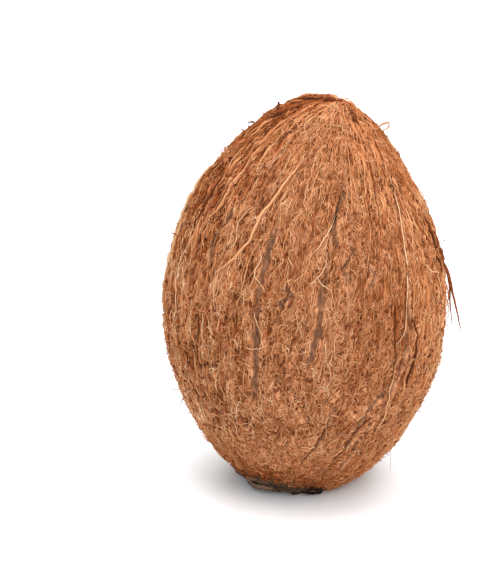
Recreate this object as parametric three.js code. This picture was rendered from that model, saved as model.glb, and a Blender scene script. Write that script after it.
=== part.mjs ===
// A ripe coconut with its thick outer husk stripped away, standing on the small flat at its
// blunt end with the pointed end up. It grew as one piece, so it is one closed solid.
// Millimetres, +Z up. The origin is on the ground, under the middle of the nut.
import * as THREE from "three";

// Overall form.
const LENGTH = 144; // from the flat foot to the tip
const WIDTH = 100; // mean width of the widest ring
const WIDEST_HEIGHT = 69; // height of the widest ring above the foot
const FOOT_RADIUS = 17; // the small flat that the nut rests on

// Roundness of the two ends: an exponent of 2 twice over is an ellipse, and less is more pointed.
const BLUNT_END = { along: 1.77, across: 2.2 };
const POINTED_END = { along: 1.78, across: 1.75 };

// A coconut grows from three carpels, and each leaves a soft ridge from end to end.
const RIDGES = 3;
const RIDGE_HEIGHT = 1.1;
const FIRST_RIDGE_ANGLE = THREE.MathUtils.degToRad(-47.5);

// The nut isn't quite true: its tip leans to one side and its flanks have broad, low swells.
const TIP_LEAN = 5;
const LEAN_STARTS = 0.78; // share of the length below which the nut stands straight
const SWELLS = [
  { height: 0.7, around: 2, phase: 0.9, pitch: 210 },
  { height: 0.45, around: 5, phase: 2.3, pitch: 120 },
];

const SEGMENTS = 64; // facets round the widest ring
const RINGS_PER_END = 20;

/** Radius of one end, as a share of the greatest, at a share of the way from widest ring to pole. */
function endRadius(share, { along, across }) {
  return Math.pow(Math.max(0, 1 - Math.pow(share, along)), 1 / across);
}

/** Share of the way to the blunt pole where the foot cuts that end flat. */
function footShare() {
  const radiusShare = FOOT_RADIUS / (WIDTH / 2);
  const { along, across } = BLUNT_END;
  return Math.pow(1 - Math.pow(radiusShare, across), 1 / along);
}

/** Half outline of the nut as (radius, height), from the middle of the foot to the tip. */
function outline() {
  const cut = footShare();
  const bluntLength = WIDEST_HEIGHT / cut;
  const pointedLength = LENGTH - WIDEST_HEIGHT;
  const points = [new THREE.Vector2(0, 0)];
  const cutAngle = Math.asin(cut);
  for (let ring = 0; ring <= RINGS_PER_END; ring++) {
    const share = Math.sin(cutAngle * (1 - ring / RINGS_PER_END));
    const radius = (WIDTH / 2) * endRadius(share, BLUNT_END);
    points.push(new THREE.Vector2(radius, WIDEST_HEIGHT - bluntLength * share));
  }
  for (let ring = 1; ring < RINGS_PER_END; ring++) {
    const share = Math.sin(((Math.PI / 2) * ring) / RINGS_PER_END);
    const radius = (WIDTH / 2) * endRadius(share, POINTED_END);
    points.push(new THREE.Vector2(radius, WIDEST_HEIGHT + pointedLength * share));
  }
  points.push(new THREE.Vector2(0, LENGTH));
  return points;
}

/** How far the flank at this height is free to leave a true circle: none at the foot and tip. */
function flankShare(height) {
  return Math.pow(Math.max(0, Math.sin((Math.PI * height) / LENGTH)), 0.8);
}

/** Change of radius at an angle round the nut and a height: the carpel ridges and the swells. */
function unevenness(angle, height) {
  let change = RIDGE_HEIGHT * Math.cos(RIDGES * (angle - FIRST_RIDGE_ANGLE));
  for (const swell of SWELLS) {
    const turn = swell.around * angle + swell.phase;
    change += swell.height * Math.sin(turn + (2 * Math.PI * height) / swell.pitch);
  }
  return change * flankShare(height);
}

/** Sideways shift of the nut's middle at a height, which carries the tip off the axis. */
function lean(height) {
  const rise = THREE.MathUtils.clamp((height / LENGTH - LEAN_STARTS) / (1 - LEAN_STARTS), 0, 1);
  return TIP_LEAN * Math.pow(rise, 1.5);
}

/** The closed solid of the nut, from its turned outline and then its natural unevenness. */
function coconutSolid() {
  const solid = new THREE.LatheGeometry(outline(), SEGMENTS);
  solid.rotateX(Math.PI / 2);
  const places = solid.getAttribute("position");
  for (let i = 0; i < places.count; i++) {
    const radius = Math.hypot(places.getX(i), places.getY(i));
    const angle = Math.atan2(places.getY(i), places.getX(i));
    const height = places.getZ(i);
    const onAxis = radius < 1e-6;
    const grown = onAxis ? 0 : radius + unevenness(angle, height) * Math.min(1, radius / 30);
    places.setXY(i, grown * Math.cos(angle) + lean(height), grown * Math.sin(angle));
  }
  solid.computeBoundingBox();
  const middle = solid.boundingBox.getCenter(new THREE.Vector3());
  solid.translate(-middle.x, -middle.y, 0);
  solid.computeVertexNormals();
  return solid;
}

/** Matted coir: warm brown, rough and not at all metallic. */
function coirMaterial() {
  return new THREE.MeshStandardMaterial({ color: 0xb07a4c, roughness: 0.9, metalness: 0 });
}

const coconut = new THREE.Mesh(coconutSolid(), coirMaterial());
coconut.name = "coconut";

const part = new THREE.Group();
part.add(coconut);

export default part;
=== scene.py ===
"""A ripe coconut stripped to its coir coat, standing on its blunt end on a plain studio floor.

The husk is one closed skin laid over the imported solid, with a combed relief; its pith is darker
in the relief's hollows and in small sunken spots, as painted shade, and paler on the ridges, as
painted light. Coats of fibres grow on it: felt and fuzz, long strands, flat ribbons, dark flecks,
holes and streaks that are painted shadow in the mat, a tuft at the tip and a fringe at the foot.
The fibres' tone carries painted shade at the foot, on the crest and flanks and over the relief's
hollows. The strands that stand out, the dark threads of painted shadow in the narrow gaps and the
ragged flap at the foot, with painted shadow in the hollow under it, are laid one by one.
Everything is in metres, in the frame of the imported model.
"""

import logging
import math
from dataclasses import dataclass, field
from enum import Enum
from typing import Any, Union

import bmesh
import bpy
import numpy as np
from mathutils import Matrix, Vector
from mathutils.bvhtree import BVHTree


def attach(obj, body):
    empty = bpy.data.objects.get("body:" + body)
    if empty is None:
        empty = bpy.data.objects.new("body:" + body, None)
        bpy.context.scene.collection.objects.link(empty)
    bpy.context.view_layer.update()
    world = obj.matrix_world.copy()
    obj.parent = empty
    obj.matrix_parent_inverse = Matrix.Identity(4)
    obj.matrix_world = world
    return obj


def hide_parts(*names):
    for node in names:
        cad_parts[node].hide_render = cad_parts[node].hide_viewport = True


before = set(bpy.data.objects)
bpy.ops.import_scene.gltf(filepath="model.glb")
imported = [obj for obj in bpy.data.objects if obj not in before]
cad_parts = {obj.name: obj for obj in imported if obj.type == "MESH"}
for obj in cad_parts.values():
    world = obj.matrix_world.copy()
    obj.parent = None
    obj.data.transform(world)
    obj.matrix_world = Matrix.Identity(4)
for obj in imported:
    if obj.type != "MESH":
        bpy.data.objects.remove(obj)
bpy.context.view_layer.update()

LOG = logging.getLogger("coconut")
MM = 0.001
BODY = "root"
NODE = "coconut"
UV_MAP = "OFBake"
TURN = 2 * math.pi
TINY = 1e-12
WELD = 1e-6
FLOOR = (-1.0, -1.0, 0.0)

Wire = Union[bpy.types.NodeSocket, float, int, str, tuple, bpy.types.Material]
Rgb = tuple[float, float, float]


class Mask(Enum):
    """Where on the husk a coat of fibres grows, by the name of the husk's own attribute."""

    FELT = "felt"
    LOW = "low"
    HIGH = "high"
    COMBED = "combed"
    BARE = "bare"
    TIP = "tip"
    RIM = "rim"
    # Where dark flecks are laid as painted shadow in the gaps of the mat.
    SHADOW_GAPS = "shadow_gaps"
    # Where the fibres lean to grey dust; the darkest end of that scale is painted shadow.
    DUST = "dust_and_shade"
    CROWN = "crown"
    CURLED = "curled"


def linear(rgb: Rgb) -> tuple[float, float, float, float]:
    """Turn a screen colour into the linear colour that shaders take.

    Args:
        rgb: Red, green and blue from 0 to 255, as seen on a screen.

    Returns:
        Linear red, green, blue and a full alpha.
    """
    parts = [c / 255 for c in rgb]
    red, green, blue = [c / 12.92 if c <= 0.04045 else ((c + 0.055) / 1.055) ** 2.4 for c in parts]
    return red, green, blue, 1.0


def smooth_step(low: float, high: float, value: np.ndarray) -> np.ndarray:
    """Rise smoothly from 0 at low to 1 at high.

    Args:
        low: Where the rise starts.
        high: Where it ends. It may be less than low, for a fall.
        value: Numbers to look up.

    Returns:
        Shares from 0 to 1.
    """
    share = np.clip((value - low) / (high - low), 0, 1)
    return share * share * (3 - 2 * share)


def unit(vectors: np.ndarray) -> np.ndarray:
    """Scale vectors along the last axis to a length of one."""
    return vectors / np.maximum(np.linalg.norm(vectors, axis=-1, keepdims=True), TINY)


@dataclass(frozen=True)
class Slope:
    """A smooth rise from 0 at one value to 1 at another, or a fall where the second is less."""

    empty: float
    full: float

    def at(self, value: np.ndarray) -> np.ndarray:
        """Look values up on the slope."""
        return smooth_step(self.empty, self.full, value)


@dataclass(frozen=True)
class Band:
    """A stretch of values that is 1 in the middle, with a slope at each end."""

    rise: Slope
    fall: Slope

    def at(self, value: np.ndarray) -> np.ndarray:
        """Look values up on the band."""
        return self.rise.at(value) * self.fall.at(value)


class Graph:
    """Adds nodes to one node tree and wires them."""

    def __init__(self, tree: bpy.types.NodeTree) -> None:
        """Keep the tree that the nodes go into."""
        self.tree = tree

    def feed(self, socket: bpy.types.NodeSocket, value: Wire) -> None:
        """Link an input to another node's output, or set its value.

        Args:
            socket: The input.
            value: The output that feeds it, or what it is set to.
        """
        if isinstance(value, bpy.types.NodeSocket):
            self.tree.links.new(value, socket)
        else:
            socket.default_value = value

    def add(self, kind: str, wires: dict[str, Wire] | None = None, **options: Any) -> Any:
        """Add one node.

        Args:
            kind: Blender's name for the kind of node.
            wires: What feeds each input, by the input's name.
            **options: The node's own options, such as data_type.

        Returns:
            The new node.
        """
        node = self.tree.nodes.new(kind)
        for name, value in options.items():
            setattr(node, name, value)
        for name, value in (wires or {}).items():
            self.feed(next(s for s in node.inputs if s.name == name and s.enabled), value)
        return node

    def math(self, operation: str, *values: Wire) -> bpy.types.NodeSocket:
        """Work out one number from others.

        Args:
            operation: Blender's name for the operation.
            *values: The numbers that it takes.

        Returns:
            The output that holds the result.
        """
        node = self.tree.nodes.new("ShaderNodeMath")
        node.operation = operation
        for socket, value in zip(node.inputs, values):
            self.feed(socket, value)
        return node.outputs[0]

    def vector(self, operation: str, *values: Wire) -> bpy.types.NodeSocket:
        """Work out a vector from others, or scale one: the last value of SCALE is a number.

        Args:
            operation: Blender's name for the operation.
            *values: The vectors that it takes.

        Returns:
            The output that holds the result.
        """
        node = self.tree.nodes.new("ShaderNodeVectorMath")
        node.operation = operation
        sockets = [node.inputs[0], node.inputs["Scale"]] if operation == "SCALE" else node.inputs
        for socket, value in zip(sockets, values):
            self.feed(socket, value)
        return next(s for s in node.outputs if s.enabled)

    def join(self, x: Wire, y: Wire, z: Wire = 0.0) -> bpy.types.NodeSocket:
        """Make a vector from three numbers."""
        return self.add("ShaderNodeCombineXYZ", {"X": x, "Y": y, "Z": z}).outputs[0]

    def ramp(self, value: Wire, stops: dict[float, Rgb]) -> bpy.types.NodeSocket:
        """Look a number up on a scale of colours.

        Args:
            value: The number, from 0 to 1.
            stops: Screen colour at each place on the scale.

        Returns:
            The output that holds the colour.
        """
        node = self.add("ShaderNodeValToRGB", {"Fac": value})
        elements = node.color_ramp.elements
        while len(elements) < len(stops):
            elements.new(0.5)
        for element, (place, rgb) in zip(elements, sorted(stops.items())):
            element.position = place
            element.color = linear(rgb)
        return node.outputs["Color"]

    def mix(self, share: Wire, first: Wire, second: Wire, blend: str = "MIX") -> Any:
        """Blend two colours.

        Args:
            share: How much of the second colour goes in.
            first: The colour below.
            second: The colour on top.
            blend: Blender's name for the way they blend.

        Returns:
            The output that holds the colour.
        """
        node = self.add("ShaderNodeMix", data_type="RGBA", blend_type=blend)
        self.feed(node.inputs[0], share)
        self.feed(node.inputs[6], first)
        self.feed(node.inputs[7], second)
        return node.outputs[2]


class GeometryTree(Graph):
    """A Geometry Nodes tree with named inputs, which ends in one mesh."""

    def __init__(self, name: str) -> None:
        """Start a tree that takes and gives one geometry.

        Args:
            name: The tree's name.
        """
        super().__init__(bpy.data.node_groups.new(name, "GeometryNodeTree"))
        face = self.tree.interface
        face.new_socket("Geometry", in_out="INPUT", socket_type="NodeSocketGeometry")
        face.new_socket("Geometry", in_out="OUTPUT", socket_type="NodeSocketGeometry")
        self.entry = self.tree.nodes.new("NodeGroupInput")
        self.exit = self.tree.nodes.new("NodeGroupOutput")

    def input(self, name: str, kind: str = "Float") -> bpy.types.NodeSocket:
        """Add a named input to the tree.

        Args:
            name: The input's name.
            kind: Blender's name for its type.

        Returns:
            The input's socket inside the tree.
        """
        kind = "NodeSocket" + kind
        self.tree.interface.new_socket(name, in_out="INPUT", socket_type=kind)
        return self.entry.outputs[name]

    def attribute(self, name: Wire, kind: str = "FLOAT") -> bpy.types.NodeSocket:
        """Read a named attribute of the geometry."""
        node = self.add("GeometryNodeInputNamedAttribute", {"Name": name}, data_type=kind)
        return next(s for s in node.outputs if s.enabled and s.name == "Attribute")

    def store(self, shape: Wire, name: str, value: Wire, kind: str, domain: str) -> Any:
        """Write a named attribute on a geometry.

        Args:
            shape: The geometry that gets it.
            name: The attribute's name.
            value: What it holds.
            kind: Blender's name for its type.
            domain: What it is held on, such as POINT.

        Returns:
            The output that holds the geometry.
        """
        wires = {"Geometry": shape, "Name": name, "Value": value}
        node = self.add("GeometryNodeStoreNamedAttribute", wires, data_type=kind, domain=domain)
        return node.outputs[0]

    def chance(self, seed: Wire, salt: int) -> bpy.types.NodeSocket:
        """Draw a number from 0 to 1 for each element, from the tree's seed and a salt."""
        mixed = self.math("ADD", self.math("MULTIPLY", seed, 31.0), float(salt))
        return self.add("FunctionNodeRandomValue", {"Seed": mixed}, data_type="FLOAT").outputs[1]

    def finish(self, shape: Wire, material: Wire) -> bpy.types.NodeTree:
        """Realize what is left of instances, set the material, and close the tree.

        Args:
            shape: The geometry that the tree gives.
            material: What it is made of.

        Returns:
            The finished tree.
        """
        whole = self.add("GeometryNodeRealizeInstances", {"Geometry": shape}).outputs[0]
        dressed = self.add("GeometryNodeSetMaterial", {"Geometry": whole, "Material": material})
        self.feed(self.exit.inputs[0], dressed.outputs[0])
        return self.tree


def run_tree(
    tree: bpy.types.NodeTree, base: bpy.types.Object, name: str, values: dict[str, Any]
) -> bpy.types.Object:
    """Run a Geometry Nodes tree on a copy of an object and keep the result as a plain mesh.

    Args:
        tree: The tree to run.
        base: The object whose mesh goes in.
        name: The name of the new piece.
        values: What each named input of the tree is set to.

    Returns:
        The new piece, with no modifier left.
    """
    carrier = bpy.data.objects.new(name, base.data)
    bpy.context.scene.collection.objects.link(carrier)
    modifier = carrier.modifiers.new("grow", "NODES")
    modifier.node_group = tree
    for item in tree.interface.items_tree:
        if item.in_out == "INPUT" and item.name in values:
            modifier[item.identifier] = values[item.name]
    graph = bpy.context.evaluated_depsgraph_get()
    mesh = bpy.data.meshes.new_from_object(
        carrier.evaluated_get(graph), preserve_all_data_layers=True, depsgraph=graph
    )
    carrier.modifiers.remove(modifier)
    mesh.name = name
    carrier.data = mesh
    return carrier


def strip_attributes(piece: bpy.types.Object) -> None:
    """Drop what only the building of a piece needed, and keep its shape and UV map.

    Args:
        piece: The piece to clean.
    """
    keep = {UV_MAP, "position", "sharp_face", "material_index"}
    for name in [a.name for a in piece.data.attributes]:
        if name not in keep and not name.startswith("."):
            piece.data.attributes.remove(piece.data.attributes[name])


def report(piece: bpy.types.Object) -> None:
    """Put a finished piece on the object's body, and log its size.

    Args:
        piece: The finished piece.
    """
    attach(piece, BODY)
    triangles = sum(len(face.vertices) - 2 for face in piece.data.polygons)
    LOG.info("%s: %d triangles", piece.name, triangles)


def start_finish(name: str, roughness: float, specular: float) -> tuple[Any, Graph, Any]:
    """Start a material whose gloss is even.

    Args:
        name: The material's name.
        roughness: How matt it is, from 0 to 1.
        specular: How strongly it shines, from 0 to 1.

    Returns:
        The material, a graph that adds nodes to it, and its shader.
    """
    material = bpy.data.materials.new(name)
    material.use_nodes = True
    shader = material.node_tree.nodes["Principled BSDF"]
    shader.inputs["Roughness"].default_value = roughness
    shader.inputs["Specular IOR Level"].default_value = specular
    return material, Graph(material.node_tree), shader


@dataclass(frozen=True)
class FibreFinish:
    """Dry coir fibre: from red-brown in the shade of the mat to pale straw on top.

    Each strand carries its own place on two scales, held in its UV map: across is how pale it is,
    with painted shade and light folded in, and up is how far it leans from red-brown to straw, and at
    the very top to grey dust, whose darkest end is painted shadow for the hollow under the foot flap.
    """

    roughness: float = 0.72
    specular: float = 0.12
    red: dict[float, Rgb] = field(
        default_factory=lambda: {
            0.0: (56, 20, 6),
            0.25: (139, 64, 23),
            0.5: (190, 119, 76),
            0.75: (213, 156, 114),
            1.0: (230, 190, 155),
        }
    )
    straw: dict[float, Rgb] = field(
        default_factory=lambda: {
            0.0: (64, 30, 11),
            0.25: (143, 80, 35),
            0.5: (195, 136, 89),
            0.75: (217, 171, 126),
            1.0: (236, 206, 171),
        }
    )
    # Grey dust, with a near-black low end that is painted shadow for the hollow under the foot flap.
    dust_and_shade: dict[float, Rgb] = field(
        default_factory=lambda: {
            0.0: (22, 17, 14),
            0.2: (74, 56, 44),
            0.4: (124, 98, 78),
            1.0: (200, 172, 146),
        }
    )
    dust_from: float = 0.86
    dust_to: float = 0.94

    def make(self) -> bpy.types.Material:
        """Build the material.

        Returns:
            The material.
        """
        material, graph, shader = start_finish("coir_fibre", self.roughness, self.specular)
        place = graph.add("ShaderNodeUVMap", uv_map=UV_MAP).outputs[0]
        tone, hue, _ = graph.add("ShaderNodeSeparateXYZ", {"Vector": place}).outputs
        colour = graph.mix(hue, graph.ramp(tone, self.red), graph.ramp(tone, self.straw))
        wires = {"Value": hue, "From Min": self.dust_from, "From Max": self.dust_to}
        dusty = graph.add("ShaderNodeMapRange", wires).outputs[0]
        colour = graph.mix(dusty, colour, graph.ramp(tone, self.dust_and_shade))
        graph.feed(shader.inputs["Base Color"], colour)
        return material


@dataclass(frozen=True)
class HuskFinish:
    """The skin under the fibres: packed pith, darker in the hollows of the relief and in small sunken
    spots as painted shade and paler on the ridges as painted light, and bare shell in worn grooves.
    """

    roughness: float = 0.85
    specular: float = 0.12
    streaks: float = 800.0
    streak_detail: float = 5.0
    shadow_pits: float = 1500.0
    pit_detail: float = 2.0
    pith_spread: tuple[float, float] = (2.2, -0.85)
    shell_spread: tuple[float, float] = (2.4, -0.7)
    pit_spread: tuple[float, float] = (9.0, -5.0)
    deepest_pit: float = 0.9
    # Painted light and shade: how much paler the pith is on the ridges of the relief and darker in its
    # hollows.
    relief_light_and_shade: float = 0.5
    pit_sink: float = 0.6
    bump_strength: float = 0.8
    bump_height: float = 0.35
    pith: dict[float, Rgb] = field(
        default_factory=lambda: {
            0.0: (112, 60, 32),
            0.35: (176, 116, 76),
            0.7: (204, 144, 103),
            1.0: (222, 168, 129),
        }
    )
    shell: dict[float, Rgb] = field(
        default_factory=lambda: {0.0: (72, 46, 32), 0.5: (112, 75, 53), 1.0: (146, 102, 75)}
    )
    # Painted shade: the colour of the small spots that the bump sinks.
    pit_shade: Rgb = (66, 28, 12)

    def noise(self, graph: Graph, scale: float, detail: float) -> bpy.types.NodeSocket:
        """Make a cloudy pattern drawn out along the grain.

        Args:
            graph: The graph that it goes into.
            scale: How fine it is.
            detail: How many finer patterns are laid on it.

        Returns:
            The output that holds the pattern, from 0 to 1.
        """
        grain = graph.add("ShaderNodeAttribute", attribute_name="grain").outputs["Vector"]
        wires = {"Vector": grain, "Scale": scale, "Detail": detail, "Roughness": 0.6}
        return graph.add("ShaderNodeTexNoise", wires).outputs["Fac"]

    def make(self) -> bpy.types.Material:
        """Build the material.

        Returns:
            The material.
        """
        material, graph, shader = start_finish("coir_husk", self.roughness, self.specular)
        height = graph.add("ShaderNodeAttribute", attribute_name="relief").outputs["Fac"]
        worn = graph.add("ShaderNodeAttribute", attribute_name="bare").outputs["Fac"]
        streaks = self.noise(graph, self.streaks, self.streak_detail)
        shadow_pits = self.noise(graph, self.shadow_pits, self.pit_detail)
        share = graph.math("MULTIPLY_ADD", streaks, *self.pith_spread)
        # Painted light and shade: paler on the ridges of the relief, darker in its hollows.
        share = graph.math("MULTIPLY_ADD", height, self.relief_light_and_shade, share)
        pith = graph.ramp(share, self.pith)
        # Painted shade: the small spots that the bump sinks are darkened.
        deep = graph.math("MULTIPLY_ADD", shadow_pits, *self.pit_spread)
        deep = graph.math("MINIMUM", graph.math("MAXIMUM", deep, 0.0), self.deepest_pit)
        pith = graph.mix(deep, pith, linear(self.pit_shade))
        shell = graph.ramp(graph.math("MULTIPLY_ADD", streaks, *self.shell_spread), self.shell)
        graph.feed(shader.inputs["Base Color"], graph.mix(worn, pith, shell))
        rise = graph.math("SUBTRACT", streaks, graph.math("MULTIPLY", deep, self.pit_sink))
        wires = {"Height": rise, "Strength": self.bump_strength, "Distance": self.bump_height * MM}
        graph.feed(shader.inputs["Normal"], graph.add("ShaderNodeBump", wires).outputs[0])
        return material


@dataclass(frozen=True)
class Groove:
    """A worn stripe along the fibres, where the coat is gone and the shell shows.

    Bearings are in degrees round the fibres' own axis, from the viewer's side. Shares run from 0
    at the blunt end to 1 at the tip.
    """

    low_bearing: float
    high_bearing: float
    low: float
    high: float
    width: float
    depth: float
    sway: float = 1.5
    sway_pace: float = 9.0
    ragged: float = 0.35
    ragged_pace: tuple[float, float] = (31.0, 17.0)
    edge: Slope = Slope(1.2, 0.8)
    end: float = 0.05
    past: float = 0.01

    def mask(self, bearing: np.ndarray, share: np.ndarray, radius: np.ndarray) -> np.ndarray:
        """How far each point of the husk lies inside this groove.

        Args:
            bearing: Each point's bearing, in radians.
            share: Each point's share of the way to the tip.
            radius: Each point's distance from the fibres' axis, in metres.

        Returns:
            1 in the middle of the groove, falling to 0 at its edges and ends.
        """
        along = np.clip((share - self.low) / (self.high - self.low), 0, 1)
        centre = self.low_bearing + (self.high_bearing - self.low_bearing) * along
        centre = centre + self.sway * np.sin(self.sway_pace * along + self.low_bearing)
        apart = (bearing - np.radians(centre) + np.pi) % TURN - np.pi
        first, second = self.ragged_pace
        wave = self.ragged * np.sin(first * along + 5 * self.low)
        wander = 1 + wave * np.sin(second * along + self.high)
        across = np.abs(apart) * radius / (self.width * MM / 2 * wander)
        fade = min(self.end, (self.high - self.low) / 4)
        ends = smooth_step(self.low - self.past, self.low + fade, share)
        ends = ends * smooth_step(self.high + self.past, self.high - fade, share)
        return self.edge.at(across) * ends


GROOVES = (
    Groove(-26, -29.5, 0.28, 0.73, 2.3, 1.1, 0.8),
    Groove(-2, 0, 0.38, 0.67, 2.2, 1.0, 0.8),
    Groove(0, 4, 0.66, 0.84, 1.3, 1.3),
    Groove(-17, -16, 0.53, 0.60, 1.8, 0.8),
    Groove(8, 10, 0.62, 0.72, 1.4, 0.8),
    Groove(22, 20, 0.60, 0.68, 1.2, 0.6),
    Groove(36, 45, 0.13, 0.86, 1.2, 1.3),
    Groove(4, 18, 0.13, 0.34, 1.2, 1.0),
    Groove(24, 38, 0.14, 0.40, 1.7, 0.9),
    Groove(-58, -55, 0.40, 0.52, 1.2, 0.8),
    Groove(72, 76, 0.60, 0.78, 1.6, 1.4),
    Groove(98, 94, 0.35, 0.78, 2.4, 0.8),
    Groove(121, 126, 0.20, 0.55, 1.7, 0.9),
    Groove(136, 133, 0.58, 0.84, 1.2, 1.2),
    Groove(150, 152, 0.38, 0.74, 2.6, 0.8),
    Groove(178, 172, 0.16, 0.50, 1.4, 1.0),
    Groove(188, 190, 0.60, 0.68, 1.8, 0.8),
    Groove(203, 207, 0.38, 0.76, 2.4, 0.8),
    Groove(229, 224, 0.14, 0.86, 1.3, 1.2),
    Groove(254, 259, 0.45, 0.82, 2.5, 0.8),
    Groove(280, 277, 0.22, 0.58, 1.8, 0.8),
    Groove(303, 306, 0.58, 0.74, 1.4, 0.9),
)


@dataclass(frozen=True)
class Zones:
    """Where the nut's coat changes, and by how much.

    Bearings are in radians round the fibres' axis from the viewer's side, heights in millimetres,
    shares run from 0 at the blunt end to 1 at the tip, and a facing is the upward part of the
    direction that the skin faces.
    """

    left: Band = Band(Slope(-0.4, -0.8), Slope(-2.6, -2.1))
    right: Band = Band(Slope(0.1, 0.4), Slope(1.3, 0.9))
    left_flank: Band = Band(Slope(-0.9, -1.35), Slope(-2.6, -2.0))
    right_flank: Band = Band(Slope(0.9, 1.35), Slope(2.6, 2.0))
    right_foot: Band = Band(Slope(0.1, 0.9), Slope(2.6, 2.0))
    under_facing: Slope = Slope(-0.75, -0.9)
    under_height: Slope = Slope(3.5, 1.5)
    rim_facing: Slope = Slope(-0.97, -0.85)
    rim_height: Slope = Slope(9, 3)
    dust_height: Slope = Slope(9, 5)
    dust_side: Slope = Slope(1.3, 0.9)
    dust_bearing: float = -0.8
    crown_share: Slope = Slope(0.72, 0.82)
    crown_side: Slope = Slope(2.3, 1.7)
    crown_bearing: float = -1.35
    crest_share: Slope = Slope(0.82, 0.92)
    crest_side: Slope = Slope(0.9, 0.5)
    crest_bearing: float = -1.7
    low_share: Slope = Slope(0.68, 0.38)
    high_share: Slope = Slope(0.36, 0.62)
    combed_share: Slope = Slope(0.15, 0.55)
    least_combed: float = 0.35
    tip_share: Slope = Slope(0.86, 0.97)
    curled_share: Slope = Slope(0.62, 0.42)
    calm_gaps: float = 0.8
    # More of the painted shadow flecks on the left.
    left_shadow_gaps: float = 0.5
    calm_height: Slope = Slope(34, 14)
    calm_share: Slope = Slope(0.78, 0.9)
    calm_tip: float = 0.6
    calm_right: float = 0.35
    wild_left: float = 0.2
    wild_height: Slope = Slope(14, 34)
    # The rest of these numbers set painted shade on the fibres: how much darker the foot, the crest, the
    # left, the right and the flanks are, and how much of it the right foot is spared.
    foot_height: Slope = Slope(26, 6)
    foot_painted_shade: float = 1.5
    right_foot_painted_light: float = 0.85
    crest_painted_shade: float = 0.7
    left_painted_shade: float = 0.25
    left_height: Slope = Slope(40, 60)
    right_painted_shade: float = 0.5
    left_flank_height: Slope = Slope(88, 116)
    right_flank_height: Slope = Slope(62, 90)
    right_flank_painted_shade: float = 0.9

    def calm(self, bearing: np.ndarray, share: np.ndarray, height: np.ndarray) -> np.ndarray:
        """Work out where colours and relief are evened out.

        Args:
            bearing: Each point's bearing.
            share: Each point's share of the way to the tip.
            height: Each point's height.

        Returns:
            1 where the coat is most even, and below 0 where it is wilder than usual.
        """
        calm = np.maximum(self.calm_height.at(height), self.calm_tip * self.calm_share.at(share))
        calm = np.maximum(calm, self.calm_right * self.right.at(bearing))
        return calm - self.wild_left * self.left.at(bearing) * self.wild_height.at(height)

    def painted_shade(self, bearing: np.ndarray, share: np.ndarray, height: np.ndarray) -> np.ndarray:
        """Work out the painted shade on the fibres: at the foot, on the crest, on the left and right and
        on both flanks, with less of it at the right foot.

        Args:
            bearing: Each point's bearing.
            share: Each point's share of the way to the tip.
            height: Each point's height.

        Returns:
            0 where the fibres keep their colour, and more where painted shade darkens them.
        """
        # Painted shade: darker at the foot (less so at the right foot), on the crest, on the left, on the
        # right and on both flanks.
        pale = 1 - self.right_foot_painted_light * self.right_foot.at(bearing)
        crest = self.crest_share.at(share)
        crest = crest * self.crest_side.at(np.abs(bearing - self.crest_bearing))
        painted_shade = self.foot_painted_shade * self.foot_height.at(height) * pale + self.crest_painted_shade * crest
        painted_shade = painted_shade + self.left_painted_shade * self.left_height.at(height) * self.left.at(bearing)
        painted_shade = painted_shade + self.right_painted_shade * self.right.at(bearing)
        painted_shade = painted_shade + self.left_flank.at(bearing) * self.left_flank_height.at(height)
        side = self.right_flank_painted_shade * self.right_flank.at(bearing)
        return painted_shade + side * self.right_flank_height.at(height)

    def coats(
        self,
        bearing: np.ndarray,
        share: np.ndarray,
        height: np.ndarray,
        facing: np.ndarray,
        bare: np.ndarray,
    ) -> dict[str, np.ndarray]:
        """Work out where each coat grows.

        Args:
            bearing: Each point's bearing.
            share: Each point's share of the way to the tip.
            height: Each point's height.
            facing: How far each point faces up.
            bare: How far each point lies in a groove or beside one.

        Returns:
            Fields by name, one value for each point.
        """
        calm = self.calm(bearing, share, height)
        under = self.under_facing.at(facing) * self.under_height.at(height)
        grown = (1 - bare) * (1 - under)
        combed = self.least_combed + (1 - self.least_combed) * self.combed_share.at(share)
        crown_side = self.crown_side.at(np.abs(bearing - self.crown_bearing))
        even = 1 - self.calm_gaps * calm
        dust_side = self.dust_side.at(np.abs(bearing - self.dust_bearing))
        return {
            "under": under,
            "calm": calm,
            # Painted shade, which darkens the fibres' tone.
            "painted_shade": self.painted_shade(bearing, share, height),
            Mask.FELT.value: grown,
            Mask.LOW.value: grown * self.low_share.at(share),
            Mask.HIGH.value: grown * self.high_share.at(share),
            Mask.COMBED.value: grown * combed,
            Mask.TIP.value: self.tip_share.at(share),
            Mask.RIM.value: self.rim_height.at(height) * self.rim_facing.at(facing),
            # Painted shadow: where the dark flecks grow, with more of them on the left.
            Mask.SHADOW_GAPS.value: grown * even * (1 + self.left_shadow_gaps * self.left.at(bearing)),
            Mask.DUST.value: self.dust_height.at(height) * dust_side,
            Mask.CROWN.value: self.crown_share.at(share) * crown_side,
            Mask.CURLED.value: grown * self.curled_share.at(share) * (1 - np.maximum(calm, 0)),
        }


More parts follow.
